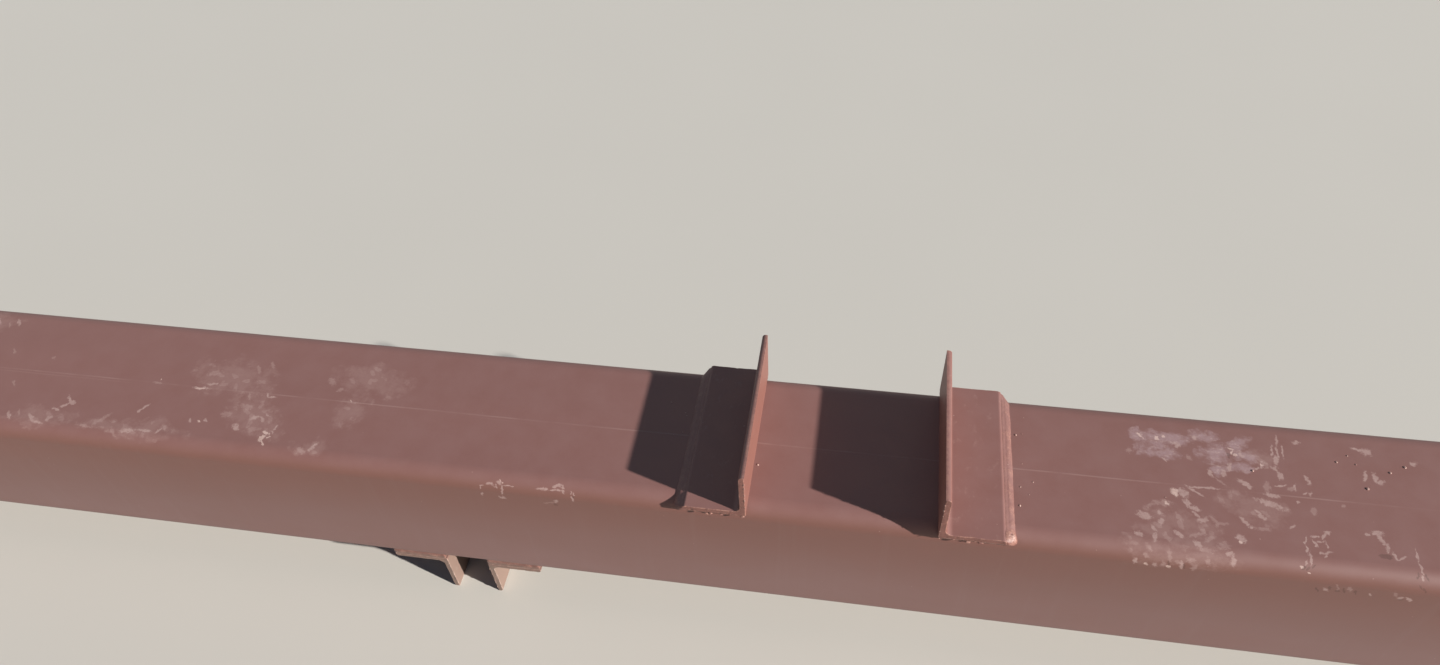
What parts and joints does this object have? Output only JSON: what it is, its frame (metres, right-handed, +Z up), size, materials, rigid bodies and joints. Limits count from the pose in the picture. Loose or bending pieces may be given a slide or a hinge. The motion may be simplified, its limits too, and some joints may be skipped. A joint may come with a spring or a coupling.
{
  "type": "square hollow section column with angle cleats",
  "caption": "Long square hollow section column in red oxide primer, with rolled angle cleats welded across its top and underside to seat cross members.",
  "frame": {"origin": "on the floor, under the middle of the column's length and whole width", "axes": "+X along the column, +Z up out of the face that carries the upper cleats, +Y across"},
  "size_m": [6, 0.26, 0.43],
  "materials": {
    "tube_primer": "matt red oxide primer, dusty and scuffed",
    "cleat_primer": "matt red oxide primer over rolled steel with sawn ends",
    "weld_primer": "primed weld bead, paler and rougher than the steel beside it"
  },
  "bodies": {
    "root": {"column_tube": "tube_primer", "upper_left_cleat": "cleat_primer", "upper_right_cleat": "cleat_primer", "lower_left_cleat": "cleat_primer", "lower_right_cleat": "cleat_primer", "upper_left_weld": "weld_primer", "upper_right_weld": "weld_primer", "lower_left_weld": "weld_primer", "lower_right_weld": "weld_primer"}
  },
  "joints": []
}
